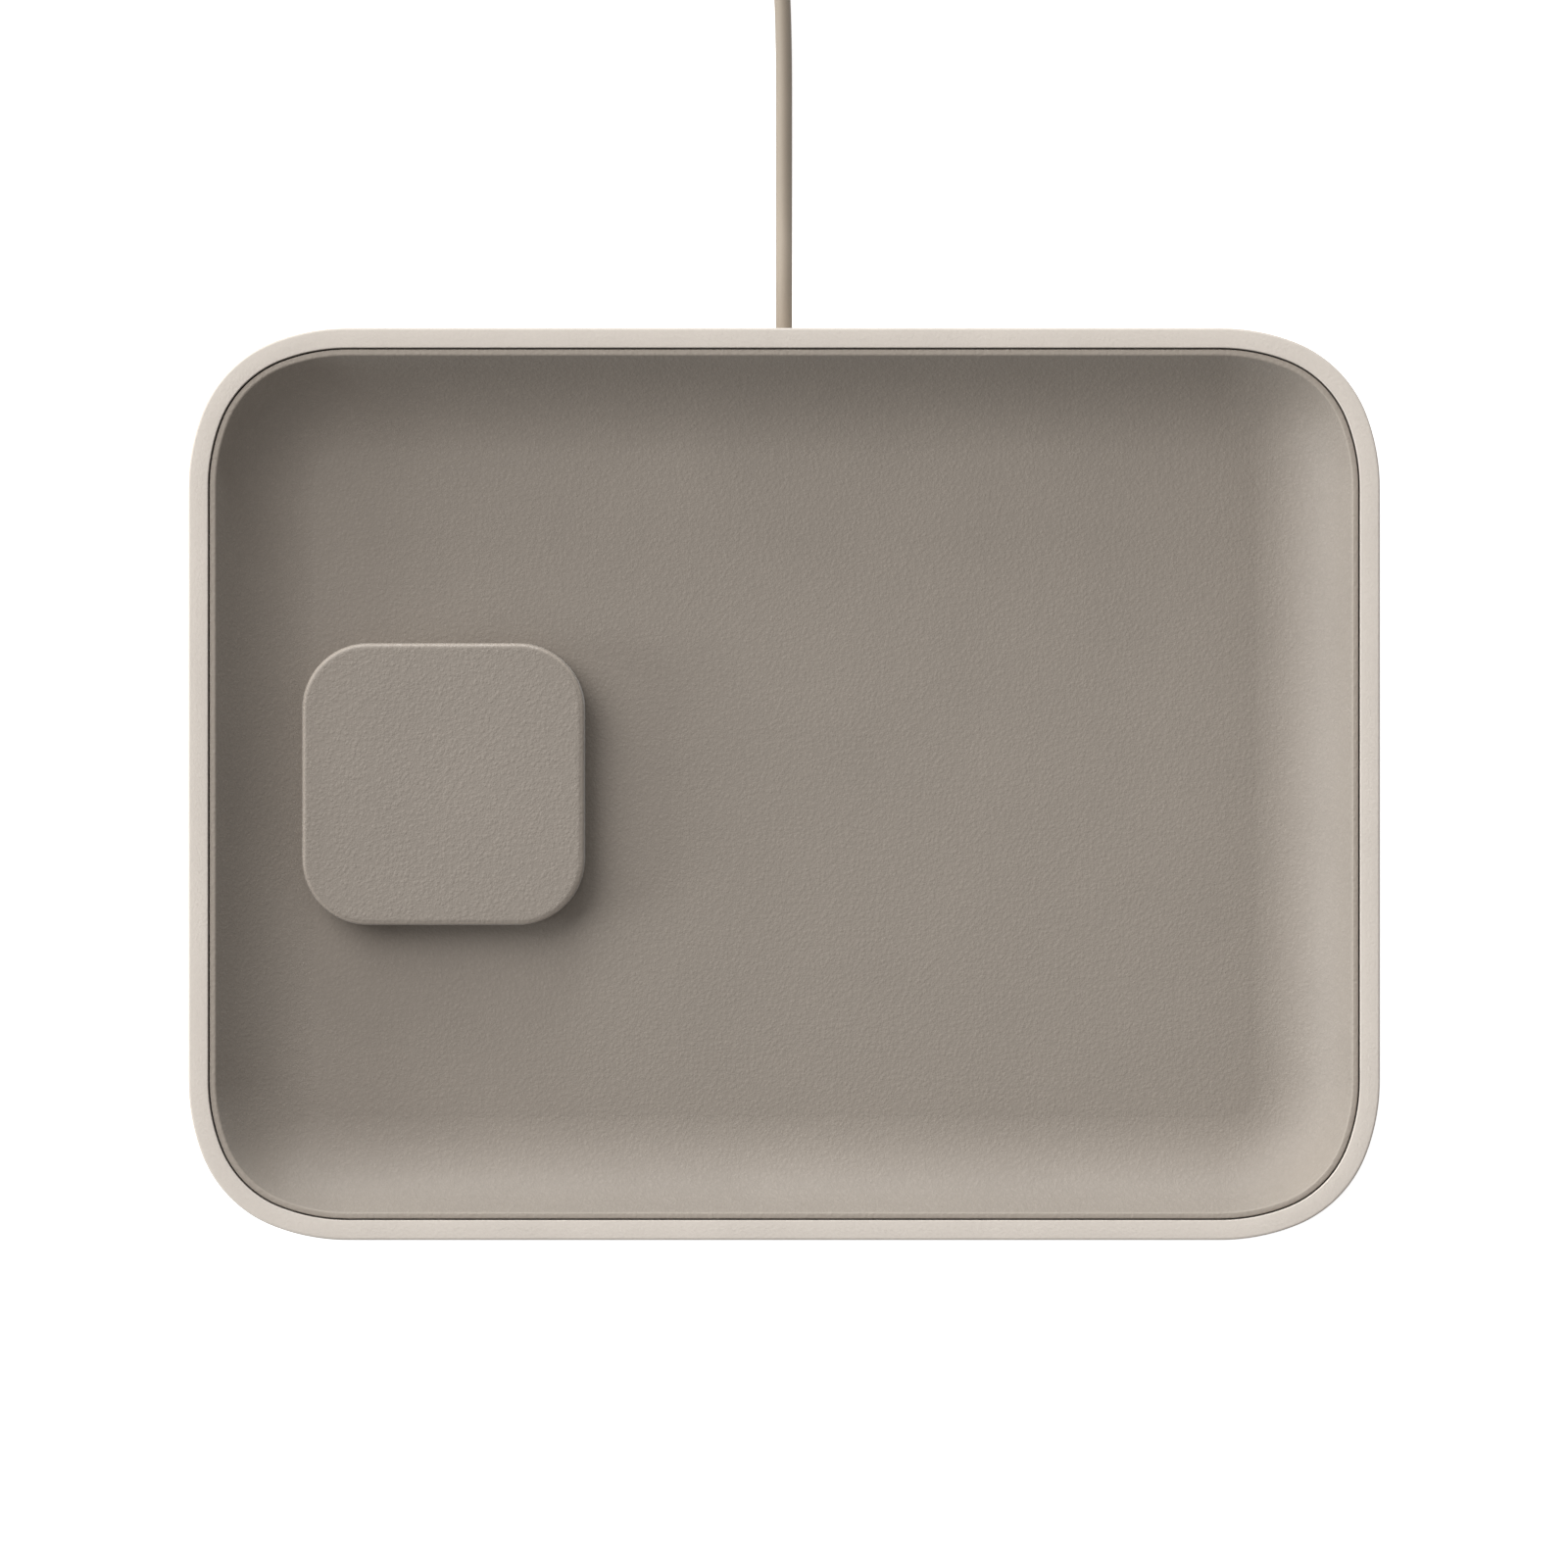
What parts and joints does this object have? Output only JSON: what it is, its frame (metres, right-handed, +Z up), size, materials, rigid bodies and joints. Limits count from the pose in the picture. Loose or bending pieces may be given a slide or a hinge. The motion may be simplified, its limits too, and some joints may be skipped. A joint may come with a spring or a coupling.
{
  "type": "charging station organizer",
  "caption": "Shallow leather-lined valet tray with softly rounded corners, a square wireless charging pad at one end and a captive power lead.",
  "frame": {"origin": "on the table under the middle of the tray, where the feet rest, the free lead left out", "axes": "+Z up; +X along the tray's long side, with the charging pad on the -X side; +Y to the rear, where the lead leaves"},
  "size_m": [0.2424, 0.3103, 0.0224],
  "materials": {
    "shell_paint": "fine grained matt",
    "dish_leather": "smooth, fine pebble grain",
    "pad_leather": "smooth, fine pebble grain",
    "base_plastic": "matt moulded",
    "foot_rubber": "matt",
    "insert_plastic": "matt moulded",
    "housing_plastic": "matt moulded",
    "screw_steel": "zinc plated",
    "board_green": "solder mask",
    "chip_black": "moulded",
    "ceramic": "ceramic",
    "ferrite_grey": "pressed sheet",
    "coil_copper": "enamelled copper",
    "connector_white": "moulded",
    "cord_jacket": "soft matt jacket",
    "tie_fabric": "woven hook tape",
    "plug_steel": "plated"
  },
  "bodies": {
    "root": {"outer_shell": "shell_paint", "leather_liner": "dish_leather", "tray_insert": "insert_plastic", "base_plate": "base_plastic", "base_screws": "screw_steel", "rubber_feet": "foot_rubber", "pad_leather": "pad_leather", "pad_housing": "housing_plastic", "pad_base": "housing_plastic", "pad_screws": "screw_steel", "charging_coil": "coil_copper", "coil_ferrite": "ferrite_grey", "coil_thermistor": "chip_black", "circuit_board": "board_green", "power_chip": "chip_black", "power_inductor": "ferrite_grey", "resonant_capacitors": "ceramic", "lead_connector": "connector_white", "lead_plug": "connector_white", "inner_lead": "cord_jacket", "cord_clamp": "insert_plastic", "cord_grommet": "cord_jacket", "cord_straight": "cord_jacket", "cord_coil": "cord_jacket", "cord_tail": "cord_jacket", "cord_tie": "tie_fabric", "plug_overmould": "cord_jacket", "plug_shell": "plug_steel", "plug_contacts": "chip_black"}
  },
  "joints": []
}
